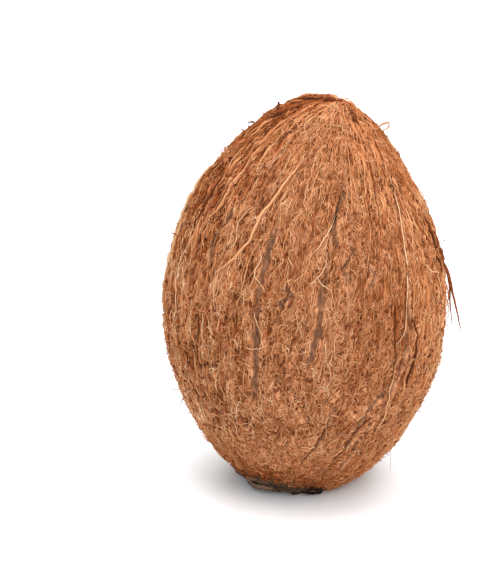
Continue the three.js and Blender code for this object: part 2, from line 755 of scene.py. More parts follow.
@dataclass
class Husk:
    """The closed skin of the nut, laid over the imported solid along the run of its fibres."""

    tip: Vector = field(default_factory=lambda: Vector((13, -3, 142)) * MM)
    root: Vector = field(default_factory=lambda: Vector((-6, -8, 0)) * MM)
    around: int = 340
    along: int = 280
    blur: int = 9
    rounding: float = 3.08
    outside: float = 0.2
    coat: float = 0.1
    tip_trim: float = 1.4
    tip_height: Slope = Slope(96, 130)
    foot_trim: float = 1.0
    foot_height: Slope = Slope(46, 28)
    foot_lean: float = 0.8
    crown_swell: float = 0.3
    crown_height: Slope = Slope(131, 139)
    crown_side: Slope = Slope(0.0, -0.3)
    groove_margin: float = 0.6
    lump_height: float = 0.45
    lump_size: float = 4.4
    tuft_height: float = 0.6
    tuft_size: float = 1.9
    crease_height: float = 0.9
    crease_size: float = 7.0
    crease_slope: float = 7.0
    details: tuple[float, float, float] = (2.0, 3.0, 2.0)
    wave_roughness: float = 0.6
    calm_relief: float = -0.4
    fibre_run: float = 200.0
    stretch: float = 3.4
    zones: Zones = Zones()
    skin_tree: BVHTree | None = None

    def frame(self) -> tuple[np.ndarray, np.ndarray, np.ndarray, np.ndarray]:
        """Set up directions round the fibres' axis.

        Returns:
            The middle of the axis, its direction, and two directions square to it.
        """
        middle = np.array((self.tip + self.root) / 2)
        axis = unit(np.array(self.tip - self.root))
        front = np.array((0.0, -1.0, 0.0))
        front = unit(front - axis * (front @ axis))
        return middle, axis, front, np.cross(axis, front)

    def spot(self, bearing: float, share: float, lift: float) -> tuple[Vector, Vector]:
        """Find a place on or off the finished husk.

        Args:
            bearing: Degrees round the fibres' axis, from the viewer's side.
            share: Share of the way from the blunt end to the tip.
            lift: Millimetres off the husk.

        Returns:
            The place, and the direction straight out from the fibres' middle.
        """
        middle, axis, front, side = (Vector(v) for v in self.frame())
        turn, rise = math.radians(bearing), math.pi * share
        ray = (front * math.cos(turn) + side * math.sin(turn)) * math.sin(rise)
        ray = (ray - axis * math.cos(rise)).normalized()
        near = self.skin_tree.ray_cast(middle + ray * self.outside, -ray)[0]
        return near + ray * (lift * MM), ray

    def reach(self) -> tuple[np.ndarray, np.ndarray]:
        """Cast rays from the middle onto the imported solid.

        Returns:
            The direction of each ray, and the distance that each goes, eased over the facets.
        """
        middle, axis, front, side = self.frame()
        turn = 2 * np.pi * np.arange(self.around) / self.around
        rise = np.pi * np.arange(self.along + 1) / self.along
        ring = np.cos(turn)[:, None] * front + np.sin(turn)[:, None] * side
        rays = np.sin(rise)[:, None, None] * ring - (np.cos(rise)[:, None] * axis)[:, None]
        shape = bmesh.new()
        shape.from_mesh(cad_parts[NODE].data)
        bmesh.ops.remove_doubles(shape, verts=shape.verts, dist=WELD)
        tree = BVHTree.FromBMesh(shape)
        shape.free()
        start = Vector(middle)
        far = [tree.ray_cast(start, Vector(ray))[3] for ray in rays.reshape(-1, 3)]
        return rays, self.eased(np.array(far).reshape(rays.shape[:2]))

    def eased(self, far: np.ndarray) -> np.ndarray:
        """Blur distances over a few steps each way, so that no facet of the solid shows.

        Args:
            far: Distances by step along and step around.

        Returns:
            The blurred distances.
        """
        wide, size = self.blur, self.along + 1
        steps = np.arange(-wide, wide + 1)
        weights = np.exp(-0.5 * (steps / self.rounding) ** 2)
        weights /= weights.sum()
        far = sum(w * np.roll(far, s, axis=1) for s, w in zip(steps, weights))
        over = np.concatenate([np.roll(far[1:], self.around // 2, 1)[wide - 1 :: -1], far])
        over = np.concatenate([over, np.roll(far[:-1], self.around // 2, 1)[: -wide - 1 : -1]])
        return sum(w * over[wide + s : wide + s + size] for s, w in zip(steps, weights))

    def base(self) -> bpy.types.Object:
        """Build the smooth skin, with what the coats need to know held as attributes.

        Returns:
            The skin as an object that isn't in the scene.
        """
        middle, axis, front, side = self.frame()
        rays, far = self.reach()
        grid = middle + rays * far[:, :, None]
        grid[:, :, 2] = np.maximum(grid[:, :, 2], 0)
        up = np.gradient(grid, axis=0)
        round_ = (np.roll(grid, -1, 1) - np.roll(grid, 1, 1)) / 2
        out = unit(np.cross(round_, up))
        out[0], out[-1] = -axis, axis
        grid = grid + out * self.thickness(grid[:, :, 2] / MM, out[:, :, 0])[:, :, None]
        flow = unit(up - out * (up * out).sum(-1, keepdims=True))
        bearing = np.arctan2((grid - middle) @ side, (grid - middle) @ front)
        radius = np.linalg.norm(grid - middle - ((grid - middle) @ axis)[..., None] * axis, axis=-1)
        share = np.broadcast_to((np.arange(self.along + 1) / self.along)[:, None], far.shape)
        fields = self.fields(grid, out, bearing, share, radius)
        fields |= {"flow": flow, "outward": out}
        return self.skin(grid, fields)

    def thickness(self, height: np.ndarray, sideways: np.ndarray) -> np.ndarray:
        """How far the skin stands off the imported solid: less at both ends, where fibres pile up.

        Args:
            height: Each point's height, in millimetres.
            sideways: How far each point faces towards +X, from -1 to 1.

        Returns:
            The distance outwards, in metres.
        """
        crown = self.crown_swell * self.crown_height.at(height) * self.crown_side.at(sideways)
        tip = self.tip_trim * self.tip_height.at(height) * (1 - crown)
        foot = self.foot_trim * self.foot_height.at(height) * (1 + self.foot_lean * sideways)
        return (self.coat - tip - foot) * MM

    def fields(
        self,
        grid: np.ndarray,
        out: np.ndarray,
        bearing: np.ndarray,
        share: np.ndarray,
        radius: np.ndarray,
    ) -> dict[str, np.ndarray]:
        """Work out the husk's grain and where each coat grows.

        Args:
            grid: Each point's place.
            out: Each point's outward direction.
            bearing: Each point's bearing round the fibres' axis.
            share: Each point's share of the way to the tip.
            radius: Each point's distance from the fibres' axis.

        Returns:
            Fields by name, one value or vector for each point.
        """
        masks = [g.mask(bearing, share, radius) for g in GROOVES]
        beside = [g.mask(bearing, share, radius * self.groove_margin) for g in GROOVES]
        deep = [m * g.depth * MM for m, g in zip(masks, GROOVES)]
        run = share * self.fibre_run * MM / self.stretch
        own = {
            "grain": np.stack([radius * np.cos(bearing), radius * np.sin(bearing), run], -1),
            "bare": np.maximum.reduce(masks),
            "cut": np.maximum.reduce(deep),
        }
        height, facing = grid[:, :, 2] / MM, out[:, :, 2]
        return own | self.zones.coats(bearing, share, height, facing, np.maximum.reduce(beside))

    def skin(self, grid: np.ndarray, fields: dict[str, np.ndarray]) -> bpy.types.Object:
        """Join the grid into one closed mesh with a UV map along and around the fibres.

        Args:
            grid: Places, by step along from the blunt end and step around.
            fields: What each point carries.

        Returns:
            The mesh as an object that isn't in the scene.
        """
        rings, size = self.along - 1, self.around
        count = rings * size + 2
        mesh = bpy.data.meshes.new("husk_base")
        step = np.arange(size)
        after = (step + 1) % size
        row = (np.arange(rings - 1) * size)[:, None]
        quads = np.stack([row + step, row + after, row + size + after, row + size + step], -1)
        low = np.stack([np.full(size, count - 2), after, step], -1)
        top = (rings - 1) * size
        high = np.stack([np.full(size, count - 1), top + step, top + after], -1)
        faces = quads.reshape(-1, 4).tolist() + low.tolist() + high.tolist()
        mesh.from_pydata(self.flat(grid).tolist(), [], faces)
        for name, values in fields.items():
            kind = "FLOAT_VECTOR" if values.ndim == 3 else "FLOAT"
            layer = mesh.attributes.new(name, kind, "POINT")
            layer.data.foreach_set(
                "vector" if values.ndim == 3 else "value", self.flat(values).ravel().astype("f4")
            )
        self.unroll(mesh)
        mesh.update()
        return bpy.data.objects.new("husk_base", mesh)

    def flat(self, values: np.ndarray) -> np.ndarray:
        """List a grid's values in the order of the mesh's points, with each pole once, last."""
        middle = values[1:-1].reshape(-1, *values.shape[2:])
        return np.concatenate([middle, values[0, :1], values[-1, :1]])

    def unroll(self, mesh: bpy.types.Mesh) -> None:
        """Lay the skin out flat: around it runs left to right, and along it bottom to top.

        Args:
            mesh: The skin.
        """
        size, rings = self.around, self.along - 1
        step = np.arange(size)
        left, right, middle = step / size, (step + 1) / size, (step + 0.5) / size
        low = ((np.arange(rings - 1) + 1) / self.along)[:, None] + 0 * left
        high = low + 1 / self.along
        left_, right_ = low * 0 + left, low * 0 + right
        quads = np.stack([left_, low, right_, low, right_, high, left_, high], -1)
        first = np.full(size, 1 / self.along)
        last = np.full(size, 1 - 1 / self.along)
        foot = np.stack([middle, 0 * step, right, first, left, first], -1)
        tip = np.stack([middle, 0 * step + 1.0, left, last, right, last], -1)
        layer = mesh.uv_layers.new(name=UV_MAP)
        spots = np.concatenate([quads.ravel(), foot.ravel(), tip.ravel()]).astype("f4")
        layer.uv.foreach_set("vector", spots)

    def tree(self) -> bpy.types.NodeTree:
        """Build the tree that combs lumps and tufts into the skin and sinks its grooves.

        Returns:
            The finished tree.
        """
        tree = GeometryTree("husk_relief")
        kinds = ("Lump", "Tuft", "Crease")
        sizes = [(tree.input(kind + " Height"), tree.input(kind + " Size")) for kind in kinds]
        material = tree.input("Material", "Material")
        grain = tree.attribute("grain", "FLOAT_VECTOR")
        free = tree.math("SUBTRACT", 1.0, tree.attribute("under"))
        kept = tree.math("SUBTRACT", 1.0, tree.attribute("bare"))
        heights = []
        for kind, (tall, size), detail in zip(kinds, sizes, self.details):
            scale = tree.math("DIVIDE", 1.0, size)
            wires = {"Vector": grain, "Scale": scale, "Detail": detail}
            wires["Roughness"] = self.wave_roughness
            wave = tree.add("ShaderNodeTexNoise", wires).outputs["Fac"]
            swing = tree.math("MULTIPLY_ADD", wave, 2.0, -1.0)
            if kind == "Crease":
                ridge = tree.math("MULTIPLY", tree.math("ABSOLUTE", swing), self.crease_slope)
                swing = tree.math("SUBTRACT", tree.math("MINIMUM", ridge, 1.0), 1.0)
            heights.append(tree.math("MULTIPLY", swing, tall))
        raised = tree.math("ADD", tree.math("ADD", *heights[:2]), heights[2])
        raised = tree.math("MULTIPLY", raised, kept)
        depth = tree.math("SUBTRACT", raised, tree.attribute("cut"))
        eased = tree.math("MULTIPLY_ADD", tree.attribute("calm"), self.calm_relief, 1.0)
        depth = tree.math("MULTIPLY", tree.math("MULTIPLY", depth, free), eased)
        total = tree.math("ADD", sizes[0][0], sizes[1][0])
        level = tree.math("MULTIPLY_ADD", tree.math("DIVIDE", depth, total), 0.5, 0.5)
        shape = tree.store(tree.entry.outputs[0], "relief", level, "FLOAT", "POINT")
        push = tree.vector("SCALE", tree.attribute("outward", "FLOAT_VECTOR"), depth)
        moved = tree.add("GeometryNodeSetPosition", {"Geometry": shape, "Offset": push})
        place = tree.add("GeometryNodeInputPosition").outputs[0]
        wires = {"Geometry": moved.outputs[0], "Position": tree.vector("MAXIMUM", place, FLOOR)}
        rested = tree.add("GeometryNodeSetPosition", wires).outputs[0]
        smooth = tree.add("GeometryNodeSetShadeSmooth", {"Geometry": rested}).outputs[0]
        return tree.finish(smooth, material)

    def build(self, finish: HuskFinish) -> bpy.types.Object:
        """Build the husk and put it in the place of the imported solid.

        Args:
            finish: What the skin is made of.

        Returns:
            The finished husk.
        """
        values = {"Material": finish.make()}
        for kind in ("lump", "tuft", "crease"):
            values[kind.title() + " Size"] = getattr(self, kind + "_size") * MM
            values[kind.title() + " Height"] = getattr(self, kind + "_height") * MM
        husk = run_tree(self.tree(), self.base(), "husk", values)
        self.skin_tree = BVHTree.FromPolygons(
            [v.co for v in husk.data.vertices], [f.vertices for f in husk.data.polygons]
        )
        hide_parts(NODE)
        report(husk)
        return husk


LENGTHS = (
    "Shortest", "Longest", "Thickness", "Curl", "Curl Length", "Coil", "Rest", "Arch", "Duck", "Free End",
)
PLAIN = ("Clump", "Seed", "Points", "Flatness", "Tone", "Tone Spread", "Hue", "Hue Spread")
KINDS = {"Mask": "String", "Seed": "Int", "Points": "Int", "Material": "Material"}


@dataclass
class FibreCoat:
    """One coat of fibres on the husk. Lengths are in millimetres."""

    name: str
    mask: Mask
    count: int
    seed: int
    shortest: float
    longest: float
    thickness: float
    points: int = 7
    flatness: float = 1.0
    clump: float = 5.0
    turn: float = 20.0
    curl: float = 0.5
    curl_length: float = 4.0
    coil: float = 0.0
    rest: float = 0.25
    arch: float = 0.4
    duck: float = 2.0
    free_end: float = 0.0
    tone: float = 0.5
    tone_spread: float = 0.17
    hue: float = 0.4
    hue_spread: float = 0.35

    def room(self, mesh: bpy.types.Mesh) -> float:
        """Measure how much of the husk the coat grows on.

        Args:
            mesh: The husk's mesh.

        Returns:
            The area in square metres, where a part with a weight of a half counts half.
        """
        weight = np.empty(len(mesh.vertices))
        mesh.attributes[self.mask.value].data.foreach_get("value", weight)
        area, sizes = np.empty(len(mesh.polygons)), np.empty(len(mesh.polygons), np.int32)
        mesh.polygons.foreach_get("area", area)
        mesh.polygons.foreach_get("loop_total", sizes)
        corner = np.empty(len(mesh.loops), np.int32)
        mesh.loops.foreach_get("vertex_index", corner)
        starts = np.concatenate([[0], np.cumsum(sizes)[:-1]])
        return (np.add.reduceat(weight[corner], starts) / sizes * area).sum()

    def values(self, husk: bpy.types.Object, material: bpy.types.Material) -> dict[str, Any]:
        """What the fibre tree's inputs are set to for this coat.

        Args:
            husk: The husk that the coat grows on.
            material: What the fibres are made of.

        Returns:
            Values by the name of the input.
        """
        own = {name: getattr(self, name.lower().replace(" ", "_")) for name in LENGTHS + PLAIN}
        own |= {name: own[name] * MM for name in LENGTHS}
        own |= {"Mask": self.mask.value, "Density": self.count / self.room(husk.data)}
        return own | {"Turn": math.radians(self.turn), "Material": material}

    def build(self, tree: bpy.types.NodeTree, husk: Any, material: Any) -> bpy.types.Object:
        """Grow the coat.

        Args:
            tree: The fibre tree.
            husk: The husk that the coat grows on.
            material: What the fibres are made of.

        Returns:
            The finished coat.
        """
        piece = run_tree(tree, husk, self.name, self.values(husk, material))
        strip_attributes(piece)
        report(piece)
        return piece


SIDES = 3
SIDE_TONE = 0.006
END_WIDTH = 0.02
END_TAPER = 0.5


class StrandTree(GeometryTree):
    """A tree that ends in closed three-sided strands, with their colours in the UV map."""

    def thicken(self, lines: Wire, width: Wire, flatness: Wire) -> bpy.types.NodeSocket:
        """Turn each line into a closed strand that thins towards its ends.

        Args:
            lines: Curves that carry tone, hue and outward.
            width: How wide each strand is at its middle, in metres.
            flatness: How thick a strand is, as a share of its width.

        Returns:
            The output that holds the mesh.
        """
        wires = {"Curve": lines, "Normal": self.attribute("outward", "FLOAT_VECTOR")}
        lines = self.add("GeometryNodeSetCurveNormal", wires, mode="FREE").outputs[0]
        ring = self.add("GeometryNodeCurvePrimitiveCircle", {"Resolution": SIDES, "Radius": 0.5})
        wires = {"Geometry": ring.outputs[0], "Scale": self.join(1.0, flatness, 1.0)}
        ring = self.add("GeometryNodeTransform", wires).outputs[0]
        index = self.add("GeometryNodeInputIndex").outputs[0]
        ring = self.store(ring, "side", self.math("MULTIPLY", index, SIDE_TONE), "FLOAT", "POINT")
        along = self.add("GeometryNodeSplineParameter").outputs["Factor"]
        hump = self.math("SINE", self.math("MULTIPLY", along, math.pi))
        slim = self.math("POWER", self.math("MAXIMUM", hump, END_WIDTH), END_TAPER)
        size = self.math("MULTIPLY", width, slim)
        wires = {"Curve": lines, "Profile Curve": ring, "Scale": size, "Fill Caps": True}
        mesh = self.add("GeometryNodeCurveToMesh", wires).outputs[0]
        pale = self.math("ADD", self.attribute("tone"), self.attribute("side"))
        spot = self.join(pale, self.attribute("hue"))
        mesh = self.store(mesh, UV_MAP, spot, "FLOAT2", "CORNER")
        return self.add("GeometryNodeSetShadeSmooth", {"Geometry": mesh}).outputs[0]


class ThreadTree(StrandTree):
    """Thickens lines that are already laid out, point by point."""

    def __init__(self) -> None:
        """Make the whole tree."""
        super().__init__("threads")
        flatness, material = self.input("Flatness"), self.input("Material", "Material")
        lines = self.add("GeometryNodeMeshToCurve", {"Mesh": self.entry.outputs[0]}).outputs[0]
        self.finish(self.thicken(lines, self.attribute("width"), flatness), material)


@dataclass
class FibreTree:
    """Builds the tree that grows fibres on the husk, each along the husk's own grain.

    A fibre's numbers are four draws from 0 to 1. Draw 0 sets its length, draws 1 to 3 what else
    differs from fibre to fibre.
    """

    draws: int = 4
    turn_salt: int = 7
    clump_scale: float = 230.0
    clump_detail: float = 2.0
    thinnest_clump: float = 0.15
    thickest_clump: float = 1.9
    length_bias: float = 1.6
    path_salts: tuple[float, float] = (997.0, 571.0)
    waver_reach: float = 4.0
    flick_bias: float = 4.0
    flick_bend: float = 2.0
    calm_flick: float = -0.55
    sinking: float = 0.92
    floor_gap: float = 0.75
    patches: tuple[tuple[float, float], ...] = ((110.0, 0.7), (420.0, 1.0))
    patch_detail: float = 2.0
    tone_patch: float = 0.5
    hue_patch: float = 0.9
    calm_patch: float = -0.75
    # How far painted shade darkens a fibre's tone.
    painted_shade_tone: float = -0.18
    # Painted shade and light: fibres over the hollows of the relief are darker, over its ridges paler.
    relief_middle: float = 0.46
    relief_shade_tone: float = 0.42
    hue_drift: float = 0.03
    highest_hue: float = 0.84
    palest: float = 0.96
    darkest: float = 0.03
    girth: tuple[float, float] = (0.9, 0.55)

    def __post_init__(self) -> None:
        """Make the tree's named inputs."""
        self.tree = StrandTree("fibres")
        names = ("Mask", "Density", "Turn", "Material", *LENGTHS, *PLAIN)
        self.inputs = {name: self.tree.input(name, KINDS.get(name, "Float")) for name in names}

    def scatter(self) -> bpy.types.NodeSocket:
        """Lay a straight stretch of line on the husk for each fibre, turned along the grain.

        Returns:
            The output that holds the lines.
        """
        tree, size = self.tree, self.inputs
        grain, outward = (tree.attribute(n, "FLOAT_VECTOR") for n in ("grain", "outward"))
        wires = {"Vector": grain, "Scale": self.clump_scale, "Detail": self.clump_detail}
        cloud = tree.add("ShaderNodeTexNoise", wires).outputs["Fac"]
        heap = tree.math("MULTIPLY", tree.math("SUBTRACT", cloud, 0.5), size["Clump"])
        heap = tree.math("MAXIMUM", tree.math("ADD", heap, 1.0), self.thinnest_clump)
        heap = tree.math("MINIMUM", heap, self.thickest_clump)
        density = tree.math("MULTIPLY", size["Density"], tree.attribute(size["Mask"]))
        density = tree.math("MULTIPLY", density, heap)
        wires = {"Mesh": tree.entry.outputs[0], "Density": density, "Seed": size["Seed"]}
        points = tree.add("GeometryNodeDistributePointsOnFaces", wires).outputs["Points"]
        for number in range(self.draws):
            draw = tree.chance(size["Seed"], number + 1)
            points = tree.store(points, f"draw{number}", draw, "FLOAT", "POINT")
        swing = tree.math("MULTIPLY_ADD", tree.chance(size["Seed"], self.turn_salt), 2.0, -1.0)
        angle = tree.math("MULTIPLY", swing, size["Turn"])
        flow = tree.attribute("flow", "FLOAT_VECTOR")
        wires = {"Vector": flow, "Axis": outward, "Angle": angle}
        heading = tree.add("ShaderNodeVectorRotate", wires, rotation_type="AXIS_ANGLE").outputs[0]
        wires = {"Primary Axis": heading, "Secondary Axis": outward}
        options = {"primary_axis": "X", "secondary_axis": "Z"}
        facing = tree.add("FunctionNodeAxesToRotation", wires, **options).outputs[0]
        span = tree.math("SUBTRACT", size["Longest"], size["Shortest"])
        drawn = tree.math("POWER", tree.attribute("draw0"), self.length_bias)
        length = tree.math("MULTIPLY_ADD", drawn, span, size["Shortest"])
        points = tree.store(points, "length", length, "FLOAT", "POINT")
        wires = {"Start": (-0.5, 0, 0), "End": (0.5, 0, 0)}
        line = tree.add("GeometryNodeCurvePrimitiveLine", wires).outputs[0]
        wires = {"Curve": line, "Count": size["Points"]}
        line = tree.add("GeometryNodeResampleCurve", wires).outputs[0]
        wires = {"Points": points, "Instance": line, "Rotation": facing}
        wires["Scale"] = tree.join(length, length, length)
        laid = tree.add("GeometryNodeInstanceOnPoints", wires).outputs[0]
        return tree.add("GeometryNodeRealizeInstances", {"Geometry": laid}).outputs[0]

    def curl(self, along: Wire) -> bpy.types.NodeSocket:
        """Push each point of a line aside, so that the line wavers and coils.

        Args:
            along: Each point's share of the way along its line.

        Returns:
            The output that holds the push.
        """
        tree, size = self.tree, self.inputs
        draws = [tree.attribute(f"draw{n}") for n in range(self.draws)]
        turns = tree.math("DIVIDE", tree.attribute("length"), size["Curl Length"])
        walk = tree.math("MULTIPLY", along, turns)
        salts = [tree.math("MULTIPLY", d, salt) for d, salt in zip(draws[1:3], self.path_salts)]
        wires = {"Vector": tree.join(walk, *salts), "Scale": 1.0, "Detail": 1.0}
        noise = tree.add("ShaderNodeTexNoise", wires).outputs["Color"]
        waver = tree.vector("SUBTRACT", noise, (0.5, 0.5, 0.5))
        reach = tree.math("MULTIPLY", size["Curl"], self.waver_reach)
        waver = tree.vector("SCALE", waver, reach)
        wound = tree.math("MULTIPLY_ADD", walk, TURN, tree.math("MULTIPLY", draws[1], TURN))
        flow = tree.attribute("flow", "FLOAT_VECTOR")
        side = tree.vector("CROSS_PRODUCT", tree.attribute("outward", "FLOAT_VECTOR"), flow)
        coil = tree.math("MULTIPLY", size["Coil"], draws[3])
        for way, wave in ((flow, "SINE"), (side, "COSINE")):
            swing = tree.math("MULTIPLY", tree.math(wave, wound), coil)
            waver = tree.vector("ADD", waver, tree.vector("SCALE", way, swing))
        return waver

    def rise(self, along: Wire, groove: Wire) -> bpy.types.NodeSocket:
        """Work out how high each point of a line lies over the husk.

        Args:
            along: Each point's share of the way along its line.
            groove: How far each point lies over a groove.

        Returns:
            The output that holds the height, in metres.
        """
        tree, size = self.tree, self.inputs
        draws = [tree.attribute(f"draw{n}") for n in range(self.draws)]
        hump = tree.math("SINE", tree.math("MULTIPLY", along, math.pi))
        rise = tree.math("MULTIPLY", tree.math("MULTIPLY", size["Arch"], draws[2]), hump)
        rise = tree.math("ADD", rise, tree.math("MULTIPLY", size["Rest"], draws[1]))
        flick = tree.math("POWER", draws[3], self.flick_bias)
        tail = tree.math("POWER", along, self.flick_bend)
        flick = tree.math("MULTIPLY", tree.math("MULTIPLY", flick, tail), size["Free End"])
        eased = tree.math("MULTIPLY_ADD", tree.attribute("calm"), self.calm_flick, 1.0)
        rise = tree.math("ADD", rise, tree.math("MULTIPLY", flick, eased))
        ducks = tree.math("LESS_THAN", draws[1], self.sinking)
        sunk = tree.math("MULTIPLY", tree.math("MULTIPLY", groove, ducks), size["Duck"])
        return tree.math("SUBTRACT", rise, sunk)

    def bend(self, lines: bpy.types.NodeSocket) -> bpy.types.NodeSocket:
        """Curl each line, wrap it onto the husk, and raise it to where it lies in the mat.

        Args:
            lines: The output that holds the straight lines.

        Returns:
            The output that holds the bent lines.
        """
        tree, size = self.tree, self.inputs
        along = tree.add("GeometryNodeSplineParameter").outputs["Factor"]
        place = tree.add("GeometryNodeInputPosition").outputs[0]
        loose = tree.vector("ADD", place, self.curl(along))
        outward = tree.attribute("outward", "FLOAT_VECTOR")
        found = []
        for value in (place, outward, tree.join(tree.attribute("bare"), 0.0)):
            wires = {"Mesh": tree.entry.outputs[0], "Value": value, "Sample Position": loose}
            kind = "GeometryNodeSampleNearestSurface"
            found.append(tree.add(kind, wires, data_type="FLOAT_VECTOR").outputs[0])
        groove = tree.add("ShaderNodeSeparateXYZ", {"Vector": found[2]}).outputs[0]
        push = tree.vector("SCALE", found[1], self.rise(along, groove))
        lifted = tree.vector("ADD", found[0], push)
        gap = tree.math("MULTIPLY", size["Thickness"], self.floor_gap)
        floor = tree.vector("MAXIMUM", lifted, tree.join(*FLOOR[:2], gap))
        wires = {"Geometry": lines, "Position": floor}
        return tree.add("GeometryNodeSetPosition", wires).outputs[0]

    def shade(self, lines: bpy.types.NodeSocket) -> bpy.types.NodeSocket:
        """Give each fibre its place on the two colour scales.

        Args:
            lines: The output that holds the bent lines.

        Returns:
            The output that holds the same lines with tone and hue on them.
        """
        tree, size = self.tree, self.inputs
        along = tree.add("GeometryNodeSplineParameter").outputs["Factor"]
        even = tree.math("MULTIPLY_ADD", tree.attribute("calm"), self.calm_patch, 1.0)
        patches = []
        for scale, share in self.patches:
            wires = {"Vector": tree.attribute("grain", "FLOAT_VECTOR"), "Scale": scale}
            wires["Detail"] = self.patch_detail
            patch = tree.add("ShaderNodeTexNoise", wires).outputs["Color"]
            parts = tree.add("ShaderNodeSeparateXYZ", {"Vector": patch}).outputs
            patches.append((parts, share))
        marks = (("Tone", "draw2", self.tone_patch), ("Hue", "draw3", self.hue_patch))
        for part, (label, draw, swing) in enumerate(marks):
            own = tree.math("MULTIPLY_ADD", tree.attribute(draw), 2.0, -1.0)
            own = tree.math("MULTIPLY", own, even)
            value = tree.math("MULTIPLY_ADD", own, size[label + " Spread"], size[label])
            for parts, share in patches:
                depth = swing * share
                wide = tree.math("MULTIPLY_ADD", parts[part], depth, -depth / 2)
                value = tree.math("MULTIPLY_ADD", wide, even, value)
            if label == "Tone":
                # Painted shade: darken the tone where the husk carries it.
                value = tree.math("MULTIPLY_ADD", tree.attribute("painted_shade"), self.painted_shade_tone, value)
                # Painted shade and light: darker over the hollows of the relief, paler over its ridges.
                lift = tree.math("SUBTRACT", tree.attribute("relief"), self.relief_middle)
                lift = tree.math("MULTIPLY", lift, even)
                value = tree.math("MULTIPLY_ADD", lift, self.relief_shade_tone, value)
            else:
                value = tree.math("MULTIPLY_ADD", along, self.hue_drift, value)
                value = tree.math("MINIMUM", value, self.highest_hue)
                value = tree.math("ADD", tree.attribute(Mask.DUST.value), value)
            value = tree.math("MINIMUM", tree.math("MAXIMUM", value, self.darkest), self.palest)
            lines = tree.store(lines, label.lower(), value, "FLOAT", "POINT")
        return lines

    def build(self) -> bpy.types.NodeTree:
        """Join the steps into the whole tree.

        Returns:
            The finished tree.
        """
        tree, size = self.tree, self.inputs
        lines = self.shade(self.bend(self.scatter()))
        girth = tree.math("MULTIPLY_ADD", tree.attribute("draw1"), *self.girth)
        width = tree.math("MULTIPLY", girth, size["Thickness"])
        return tree.finish(tree.thicken(lines, width, size["Flatness"]), size["Material"])


SWAY_STEP = 0.4
HUE_DRIFT = 0.03


@dataclass(frozen=True)
class Thread:
    """One strand laid along a given path. Its path is a row of (bearing, share, millimetres off the husk).
    """

    path: tuple[tuple[float, float, float], ...]
    width: float
    tone: float = 0.6
    hue: float = 0.4
    waver: float = 0.25

    def line(self, husk: Husk, steps: int, chance: np.random.Generator) -> list[tuple]:
        """Follow the path smoothly over the husk.

        Args:
            husk: The husk that the path lies on.
            steps: How many points to make.
            chance: Where the small wavers come from.

        Returns:
            A place and an outward direction for each point.
        """
        knots = np.array(self.path)
        at = np.linspace(0, len(knots) - 1, steps)
        smooth = []
        for where in at:
            start = min(int(where), len(knots) - 2)
            part = where - start
            before, after = knots[max(start - 1, 0)], knots[min(start + 2, len(knots) - 1)]
            first, last = knots[start], knots[start + 1]
            bend = (last - before) * part + (2 * before - 5 * first + 4 * last - after) * part**2
            bend = bend + (3 * first - before - 3 * last + after) * part**3
            smooth.append(first + bend / 2)
        sway = np.cumsum(chance.normal(0, 1, (steps, 3)), axis=0) * self.waver * SWAY_STEP * MM
        sway -= np.linspace(sway[0], sway[-1], steps)
        spots = [husk.spot(*knot) for knot in smooth]
        return [(spot + Vector(push), out) for (spot, out), push in zip(spots, sway)]


@dataclass
class ThreadPiece:
    """A piece made of strands laid one by one."""

    name: str
    threads: tuple[Thread, ...]
    flatness: float = 1.0
    steps: int = 28
    seed: int = 5

    def build(self, tree: bpy.types.NodeTree, husk: Husk, material: Any) -> bpy.types.Object:
        """Lay the strands and thicken them.

        Args:
            tree: The thread tree.
            husk: The husk that they lie on.
            material: What they are made of.

        Returns:
            The finished piece.
        """
        chance = np.random.default_rng(self.seed)
        places, edges, outs, widths, tones, hues = [], [], [], [], [], []
        for thread in self.threads:
            first = len(places)
            for step, (place, out) in enumerate(thread.line(husk, self.steps, chance)):
                place.z = max(place.z, thread.width * MM / 2)
                places.append(place)
                outs.append(out)
                widths.append(thread.width * MM)
                tones.append(thread.tone)
                hues.append(thread.hue + HUE_DRIFT * step / self.steps)
                if step:
                    edges.append((first + step - 1, first + step))
        mesh = bpy.data.meshes.new(self.name + "_lines")
        mesh.from_pydata(places, edges, [])
        for name, values in (("width", widths), ("tone", tones), ("hue", hues)):
            mesh.attributes.new(name, "FLOAT", "POINT").data.foreach_set("value", values)
        layer = mesh.attributes.new("outward", "FLOAT_VECTOR", "POINT")
        layer.data.foreach_set("vector", np.array(outs).ravel())
        base = bpy.data.objects.new(self.name + "_lines", mesh)
        piece = run_tree(tree, base, self.name, {"Flatness": self.flatness, "Material": material})
        strip_attributes(piece)
        report(piece)
        return piece


